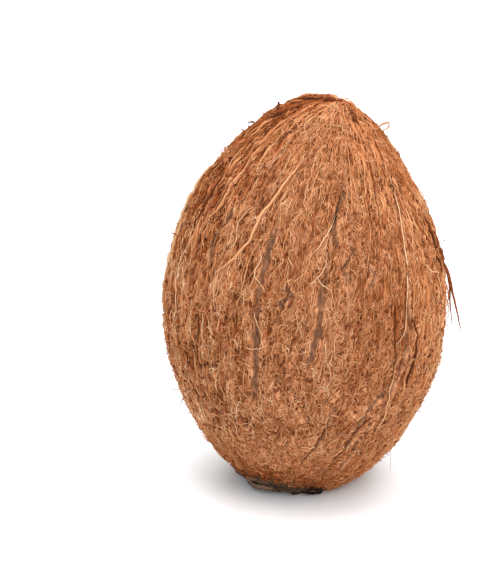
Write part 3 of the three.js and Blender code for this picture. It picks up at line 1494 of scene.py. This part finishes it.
RIBBONS = (
    Thread(((-27, 0.87, 0.6), (-29, 0.82, 1.0), (-32, 0.79, 1.1), (-36, 0.73, 1.1), (-38, 0.67, 1.1),
            (-44, 0.61, 1.1), (-51, 0.575, 0.8)), 2.0, 0.64, 0.6),
    Thread(((-33, 0.68, 0.6), (-36, 0.63, 1.0), (-36, 0.58, 1.0), (-36, 0.53, 0.6)), 1.0, 0.6, 0.5),
    Thread(((47, 0.86, 0.6), (45, 0.79, 1.1), (41.5, 0.72, 1.2), (39.5, 0.64, 1.2), (38.2, 0.56, 1.2),
            (36.7, 0.50, 1.1), (33, 0.48, 0.8)), 0.95, 0.8, 0.8),
    Thread(((-13, 0.90, 0.4), (-14, 0.83, 0.9), (-15, 0.76, 0.8), (-17, 0.70, 0.3)), 1.6, 0.58, 0.4),
    Thread(((6, 0.93, 0.4), (8, 0.86, 0.9), (9, 0.80, 0.7), (9, 0.74, 0.2)), 1.4, 0.56, 0.3),
    Thread(((-62, 0.86, 0.4), (-60, 0.79, 0.9), (-60, 0.72, 0.9), (-63, 0.66, 0.4)), 1.3, 0.58, 0.5),
    Thread(((37, 0.42, 0.5), (38, 0.36, 1.0), (41, 0.29, 1.0), (44, 0.23, 0.6)), 0.8, 0.7, 0.7),
    Thread(((110, 0.88, 0.4), (112, 0.78, 1.0), (114, 0.66, 1.1), (112, 0.56, 0.5)), 1.5, 0.62, 0.5),
    Thread(((140, 0.70, 0.4), (137, 0.60, 1.1), (139, 0.48, 1.1), (146, 0.40, 0.5)), 0.9, 0.74, 0.8),
    Thread(((164, 0.86, 0.4), (168, 0.76, 1.0), (166, 0.64, 1.0), (160, 0.57, 0.5)), 1.5, 0.64, 0.6),
    Thread(((216, 0.90, 0.4), (214, 0.80, 1.0), (218, 0.68, 1.0), (222, 0.60, 0.5)), 1.7, 0.6, 0.4),
    Thread(((240, 0.62, 0.4), (243, 0.52, 1.1), (240, 0.42, 1.1), (233, 0.33, 0.5)), 0.9, 0.74, 0.7),
    Thread(((268, 0.84, 0.4), (266, 0.74, 1.0), (268, 0.64, 1.0), (276, 0.52, 0.5)), 1.4, 0.66, 0.7),
)

# Dark threads of painted shadow, laid in the narrow gaps between fibres.
SHADOW_GAPS = (
    Thread(((38.6, 0.70, 0.8), (38.3, 0.62, 1.3), (37.1, 0.54, 1.3), (35.8, 0.49, 0.8)), 0.8, 0.12, 0.8),
    Thread(((32, 0.58, 0.6), (32.4, 0.52, 1.2), (35, 0.45, 1.3), (37.3, 0.36, 0.8)), 0.9, 0.07, 0.6),
    Thread(((44, 0.54, 0.6), (45.6, 0.47, 1.2), (45.8, 0.43, 1.3), (47.5, 0.36, 0.8)), 1.2, 0.05, 0.2),
    Thread(((44, 0.85, 0.6), (42.5, 0.82, 1.1), (41, 0.79, 0.6)), 0.9, 0.05, 0.2),
    Thread(((70, 0.77, 0.6), (72, 0.72, 1.3), (73, 0.674, 1.3), (76, 0.61, 0.6)), 1.2, 0.06, 0.3),
    Thread(((3.2, 0.83, 0.4), (1.6, 0.775, 0.9), (-0.3, 0.747, 0.9), (-1.7, 0.70, 0.4)), 1.1, 0.04, 0.95),
    Thread(((20, 0.69, 0.4), (18.6, 0.66, 0.9), (17.4, 0.62, 0.4)), 0.7, 0.12, 0.8),
    Thread(((-57, 0.49, 0.4), (-56, 0.42, 0.8), (-56, 0.36, 0.8), (-53.5, 0.30, 0.4)), 0.8, 0.08, 0.4),
    Thread(((-64.5, 0.30, 0.4), (-63.7, 0.27, 0.8), (-62.4, 0.24, 0.4)), 0.8, 0.08, 0.3),
    Thread(((18, 0.35, 0.4), (15, 0.28, 0.8), (9, 0.20, 0.8), (3, 0.14, 0.4)), 0.8, 0.12, 0.6),
    Thread(((37, 0.33, 0.4), (29.5, 0.24, 0.8), (25.5, 0.18, 0.8), (25, 0.14, 0.4)), 0.9, 0.1, 0.5),
    Thread(((-15.6, 0.60, 0.4), (-16.4, 0.57, 0.8), (-17.6, 0.53, 0.4)), 1.3, 0.07, 0.3),
    Thread(((-61, 0.85, 0.4), (-58, 0.80, 0.8), (-58, 0.75, 0.4)), 0.7, 0.08, 0.2),
    Thread(((104, 0.62, 0.4), (105, 0.54, 0.9), (103, 0.45, 0.4)), 1.0, 0.06, 0.3),
    Thread(((131, 0.82, 0.4), (134, 0.74, 0.9), (133, 0.66, 0.4)), 1.1, 0.06, 0.3),
    Thread(((160, 0.48, 0.4), (158, 0.38, 0.9), (162, 0.28, 0.4)), 0.9, 0.08, 0.5),
    Thread(((196, 0.76, 0.4), (193, 0.68, 0.9), (196, 0.58, 0.4)), 1.0, 0.06, 0.3),
    Thread(((227, 0.56, 0.4), (226, 0.46, 0.9), (229, 0.34, 0.4)), 0.9, 0.08, 0.4),
    Thread(((247, 0.80, 0.4), (250, 0.70, 0.9), (248, 0.62, 0.4)), 1.1, 0.06, 0.3),
    Thread(((274, 0.48, 0.4), (272, 0.38, 0.9), (276, 0.28, 0.4)), 0.9, 0.08, 0.5),
    Thread(((289, 0.78, 0.4), (291, 0.70, 0.9), (289, 0.62, 0.4)), 1.0, 0.06, 0.3),
)

FLAP = (
    Thread(((-116, 0.088, 0.3), (-82, 0.066, 1.2), (-38, 0.069, 1.6), (-13, 0.058, 1.0),
            (21, 0.06, 0.3)), 2.2, 0.36, 0.95, 0.5),
    Thread(((-104, 0.10, 0.3), (-70, 0.082, 1.0), (-34, 0.082, 1.2), (-8, 0.072, 0.3)),
           2.0, 0.34, 0.95, 0.5),
    Thread(((-96, 0.06, 0.3), (-60, 0.05, 1.2), (-25, 0.05, 1.3), (14, 0.05, 0.4)), 2.0, 0.28, 0.95, 0.5),
    Thread(((-110, 0.075, 1.0), (-78, 0.07, 1.9), (-50, 0.074, 2.1), (-28, 0.066, 1.4)),
           0.6, 0.52, 0.95, 0.5),
    Thread(((-66, 0.09, 1.0), (-40, 0.085, 1.8), (-16, 0.07, 1.5), (4, 0.064, 0.8)), 0.6, 0.18, 0.95, 0.5),
    # These two near-black threads are painted shadow in the hollow under the flap.
    Thread(((17, 0.074, 0.5), (28, 0.084, 0.9), (36, 0.09, 0.9), (46, 0.096, 0.3)), 2.0, 0.0, 0.95),
    Thread(((15, 0.06, 0.5), (28, 0.07, 0.9), (38, 0.078, 0.9), (49, 0.086, 0.3)), 2.4, 0.0, 0.95),
)

HAIRS = (
    Thread(((73, 0.745, 0.6), (80, 0.70, 1.2), (88, 0.65, 1.4), (92, 0.60, 2.2), (95, 0.54, 4.0),
            (96, 0.484, 7.2), (96, 0.452, 10.0)), 1.3, 0.16, 0.4, 0.08),
    Thread(((80, 0.70, 0.4), (88, 0.64, 1.0), (93, 0.58, 2.2), (96, 0.52, 3.4), (96, 0.46, 5.6)),
           0.9, 0.2, 0.4, 0.1),
    Thread(((84, 0.66, 0.4), (90, 0.60, 1.2), (94, 0.53, 2.2), (96, 0.47, 3.2)), 0.6, 0.3, 0.4, 0.1),
    Thread(((50, 0.937, 0.6), (62, 0.932, 2.0), (71, 0.93, 3.4), (80, 0.925, 4.9), (84, 0.919, 5.3),
            (80, 0.918, 4.3), (72, 0.924, 2.8)), 0.9, 0.38, 0.7, 0.05),
    Thread(((92, 0.23, 0.2), (100, 0.195, 2.6), (101, 0.182, 6.0), (101, 0.172, 11.4)), 0.5, 0.16, 0.6),
    Thread(((88, 0.36, 0.1), (90, 0.33, 1.8), (92, 0.29, 2.2)), 0.24, 0.5, 0.6),
    Thread(((-90, 0.858, 0.4), (-96, 0.852, 1.8), (-96, 0.84, 3.0)), 0.9, 0.1, 0.4),
    Thread(((-90, 0.835, 0.1), (-94, 0.83, 1.6), (-97, 0.825, 2.8)), 0.6, 0.2, 0.4),
    Thread(((-90, 0.895, 0.6), (-95, 0.90, 2.0), (-98, 0.898, 2.8)), 1.2, 0.08, 0.3),
    Thread(((1, 0.77, 0.4), (-1, 0.735, 1.5), (-4, 0.70, 1.5), (-8.5, 0.67, 0.6)), 0.5, 0.82, 0.8),
    Thread(((-1, 0.70, 0.4), (-1.5, 0.65, 1.5), (-4, 0.625, 1.4), (-8, 0.605, 0.6)), 0.45, 0.8, 0.8),
    Thread(((-5, 0.63, 0.4), (-1.5, 0.61, 1.4), (3, 0.60, 0.5)), 0.4, 0.84, 0.8),
    Thread(((-34, 0.67, 0.3), (-31, 0.64, 1.2), (-31, 0.60, 1.4), (-25, 0.57, 0.8)), 0.45, 0.8, 0.8),
    Thread(((-30, 0.52, 0.4), (-27, 0.49, 1.3), (-24, 0.47, 0.6)), 0.4, 0.74, 0.7),
    Thread(((-33, 0.43, 0.4), (-27, 0.43, 1.4), (-21, 0.45, 0.7)), 0.4, 0.76, 0.7),
    Thread(((-44, 0.74, 0.4), (-47, 0.70, 1.3), (-45, 0.66, 1.3), (-48, 0.62, 0.5)), 0.4, 0.8, 0.8),
    Thread(((52, 0.68, 0.5), (58, 0.64, 1.4), (66, 0.63, 1.4), (72, 0.58, 0.6)), 0.4, 0.8, 0.8),
    Thread(((-70, 0.62, 0.5), (-74, 0.54, 1.4), (-72, 0.46, 1.6), (-76, 0.40, 0.6)), 0.4, 0.78, 0.7),
    Thread(((112, 0.40, 0.4), (118, 0.37, 1.5), (126, 0.39, 1.4), (131, 0.35, 0.5)), 0.4, 0.76, 0.7),
    Thread(((200, 0.58, 0.4), (206, 0.55, 1.5), (209, 0.49, 1.5), (216, 0.46, 0.5)), 0.4, 0.8, 0.8),
    Thread(((252, 0.34, 0.4), (260, 0.36, 1.5), (264, 0.31, 1.5), (259, 0.26, 0.5)), 0.4, 0.76, 0.7),
)

COATS = (
    FibreCoat("felt_under", Mask.FELT, 4500, 11, 2.5, 6.0, 0.55, 6, turn=50, curl=0.6, rest=0.2,
              curl_length=2.6, coil=0.4, tone=0.46),
    FibreCoat("felt_low_1", Mask.LOW, 7000, 12, 1.4, 3.8, 0.42, 5, turn=90, curl=0.5, rest=0.4,
              curl_length=2.4, coil=0.6, tone=0.50),
    FibreCoat("felt_low_2", Mask.LOW, 7000, 13, 1.4, 3.6, 0.38, 5, turn=90, curl=0.5, rest=0.6,
              curl_length=2.4, coil=0.6, tone=0.62, tone_spread=0.20, hue=0.36),
    FibreCoat("felt_high_1", Mask.HIGH, 7000, 14, 1.8, 5.0, 0.42, 5, turn=34, curl=0.5, rest=0.4,
              curl_length=2.8, coil=0.5, tone=0.53, hue=0.5),
    FibreCoat("felt_high_2", Mask.HIGH, 6400, 15, 1.8, 4.5, 0.38, 5, turn=40, curl=0.5, rest=0.6,
              curl_length=2.8, coil=0.5, tone=0.62, tone_spread=0.20, hue=0.5),
    FibreCoat("strands_1", Mask.COMBED, 2600, 21, 5.0, 14.0, 0.38, 9, turn=14, curl=0.7,
              rest=0.5, tone=0.50),
    FibreCoat("strands_2", Mask.COMBED, 900, 22, 6.0, 20.0, 0.28, 12, turn=22, curl=1.0,
              rest=0.8, coil=0.6, tone=0.63),
    FibreCoat("ribbons", Mask.COMBED, 1800, 31, 4.0, 15.0, 0.95, 8, flatness=0.35, clump=-2.0,
              turn=10, curl=0.6, rest=0.4, tone=0.52, tone_spread=0.14),
    FibreCoat("sheets", Mask.HIGH, 260, 32, 5.0, 14.0, 1.9, 8, flatness=0.18, clump=-4.0,
              turn=7, curl=0.6, rest=0.2, tone=0.50, tone_spread=0.1),
    FibreCoat("wisps", Mask.COMBED, 1300, 33, 5.0, 15.0, 0.2, 9, turn=16, curl=0.8, rest=1.0,
              coil=0.4, tone=0.70, tone_spread=0.2, hue=0.6),
    # Dark flecks: painted shadow in the gaps of the mat.
    FibreCoat("shadow_flecks", Mask.SHADOW_GAPS, 5400, 41, 0.8, 3.2, 0.44, 4, turn=24, clump=8.0, curl=0.4,
              rest=0.5, curl_length=2.0, tone=0.17, tone_spread=0.12, hue=0.05),
    # Short dark fibres: painted shadow in the small holes of the curled felt.
    FibreCoat("shadow_pits", Mask.CURLED, 2200, 42, 0.5, 1.5, 0.5, 3, turn=90, clump=3.0, curl=0.2,
              rest=0.9, tone=0.16, tone_spread=0.1, hue=0.1, hue_spread=0.2),
    FibreCoat("curls", Mask.CURLED, 1300, 43, 2.0, 5.5, 0.22, 8, turn=180, curl=0.5, rest=1.1,
              curl_length=3.0, coil=1.0, tone=0.68, tone_spread=0.2, hue=0.6),
    FibreCoat("bridges", Mask.BARE, 70, 51, 3.5, 9.0, 0.3, 9, turn=75, curl=0.8, rest=0.9,
              coil=0.6, duck=0.0, tone=0.6),
    FibreCoat("tip_tuft", Mask.TIP, 300, 71, 4.0, 12.0, 0.6, 9, flatness=0.5, turn=20, curl=0.6,
              rest=0.5, free_end=1.4, tone=0.34, tone_spread=0.3),
    FibreCoat("foot_fringe", Mask.RIM, 700, 81, 2.0, 5.0, 0.24, 8, turn=80, curl=0.8, rest=1.0,
              coil=0.6, free_end=2.2, tone=0.50, hue=0.7),
    FibreCoat("crown_bands", Mask.CROWN, 420, 91, 7.0, 20.0, 1.1, 9, flatness=0.3, clump=-2.0,
              turn=6, curl=0.5, rest=0.4, tone=0.58, tone_spread=0.14, hue=0.5),
    # Dark strands between the crown's bands: painted shadow under their edges.
    FibreCoat("crown_shadow_gaps", Mask.CROWN, 300, 92, 4.0, 14.0, 0.3, 8, turn=7, curl=0.4,
              rest=0.9, tone=0.26, tone_spread=0.12, hue=0.15, hue_spread=0.15),
    FibreCoat("fuzz", Mask.FELT, 3600, 62, 1.5, 4.5, 0.3, 5, turn=120, curl=0.5, rest=0.8,
              coil=0.7, free_end=5.0, tone=0.40, hue=0.4),
    FibreCoat("foot_scraps", Mask.DUST, 150, 82, 2.5, 7.0, 1.1, 7, flatness=0.3, turn=80,
              curl=0.8, rest=1.2, free_end=2.0, tone=0.46, tone_spread=0.2),
    FibreCoat("frizz", Mask.FELT, 1300, 61, 4.0, 12.0, 0.2, 11, turn=180, curl=1.2, rest=1.0,
              coil=1.0, free_end=5.5, tone=0.60, hue=0.6),
)


@dataclass(frozen=True)
class Lamp:
    """A soft square light that faces the nut: metres for its place and size, watts for its power."""

    name: str
    place: tuple[float, float, float]
    size: float
    power: float

    def hang(self, aim: Vector) -> None:
        """Hang the light.

        Args:
            aim: What it faces, in metres.
        """
        data = bpy.data.lights.new(self.name, "AREA")
        data.size = self.size
        data.energy = self.power
        lamp = bpy.data.objects.new(self.name, data)
        lamp.location = self.place
        lamp.rotation_euler = (aim - Vector(self.place)).to_track_quat("-Z", "Y").to_euler()
        bpy.context.scene.collection.objects.link(lamp)


LAMPS = (
    Lamp("overhead", (0.1, 0.3, 2.4), 3.0, 106.0),
    Lamp("key", (0.6, -0.95, 1.1), 0.9, 8.5),
    Lamp("front", (0.0, -1.6, 0.7), 1.0, 11.0),
)


@dataclass
class Studio:
    """A plain pale floor, plain soft light, and the camera. Places are in metres."""

    aim: Vector = field(default_factory=lambda: Vector((-0.01935, 0.00044, 0.07344)))
    distance: float = 0.63125
    elevation: float = 17.0
    lens: float = 110.0
    sensor: float = 36.0
    nearest: float = 0.01
    middle: Vector = field(default_factory=lambda: Vector((0, 0, 0.07)))
    floor_size: float = 3.6
    floor_height: float = -0.00005
    floor_colour: tuple[float, float, float, float] = (0.93, 0.955, 0.97, 1.0)
    floor_roughness: float = 0.55
    floor_specular: float = 0.2
    room_light: float = 0.56

    def camera(self) -> None:
        """Place the camera in front of the nut, looking down on it a little."""
        data = bpy.data.cameras.new("camera")
        data.lens = self.lens
        data.sensor_width = self.sensor
        data.clip_start = self.nearest
        camera = bpy.data.objects.new("camera", data)
        tilt = math.radians(self.elevation)
        back = Vector((0, -math.cos(tilt), math.sin(tilt)))
        camera.location = self.aim + back * self.distance
        camera.rotation_euler = (math.pi / 2 - tilt, 0, 0)
        bpy.context.scene.collection.objects.link(camera)
        bpy.context.scene.camera = camera

    def floor(self) -> None:
        """Lay the floor."""
        half, low = self.floor_size / 2, self.floor_height
        mesh = bpy.data.meshes.new("floor")
        corners = [(-half, -half, low), (half, -half, low), (half, half, low), (-half, half, low)]
        mesh.from_pydata(corners, [], [(0, 1, 2, 3)])
        finish = start_finish("studio_floor", self.floor_roughness, self.floor_specular)
        finish[2].inputs["Base Color"].default_value = self.floor_colour
        mesh.materials.append(finish[0])
        floor = bpy.data.objects.new("floor", mesh)
        bpy.context.scene.collection.objects.link(floor)

    def room(self) -> None:
        """Fill the room with even light, behind which the camera sees plain white."""
        world = bpy.data.worlds.new("room")
        world.use_nodes = True
        graph = Graph(world.node_tree)
        background = world.node_tree.nodes["Background"]
        background.inputs["Color"].default_value = (1, 1, 1, 1)
        seen = graph.add("ShaderNodeLightPath").outputs["Is Camera Ray"]
        level = graph.math("MULTIPLY_ADD", seen, 1.0 - self.room_light, self.room_light)
        graph.feed(background.inputs["Strength"], level)
        bpy.context.scene.world = world

    def build(self) -> None:
        """Set the studio up."""
        self.camera()
        self.floor()
        self.room()
        for lamp in LAMPS:
            lamp.hang(self.middle)
        bpy.context.scene.view_settings.view_transform = "Standard"


def main() -> None:
    """Build the studio and the coconut."""
    logging.basicConfig(level=logging.INFO, format="%(name)s %(message)s")
    Studio().build()
    husk = Husk()
    skin = husk.build(HuskFinish())
    fibre = FibreFinish().make()
    tree = FibreTree().build()
    for coat in COATS:
        coat.build(tree, skin, fibre)
    threads = ThreadTree().tree
    ThreadPiece("laid_ribbons", RIBBONS, flatness=0.35).build(threads, husk, fibre)
    # Painted shadow in the narrow gaps.
    ThreadPiece("painted_shadow_gaps", SHADOW_GAPS, flatness=0.3, seed=6).build(threads, husk, fibre)
    ThreadPiece("foot_flap", FLAP, flatness=0.35, seed=7).build(threads, husk, fibre)
    ThreadPiece("loose_hairs", HAIRS).build(threads, husk, fibre)


if __name__ == "__main__":
    main()
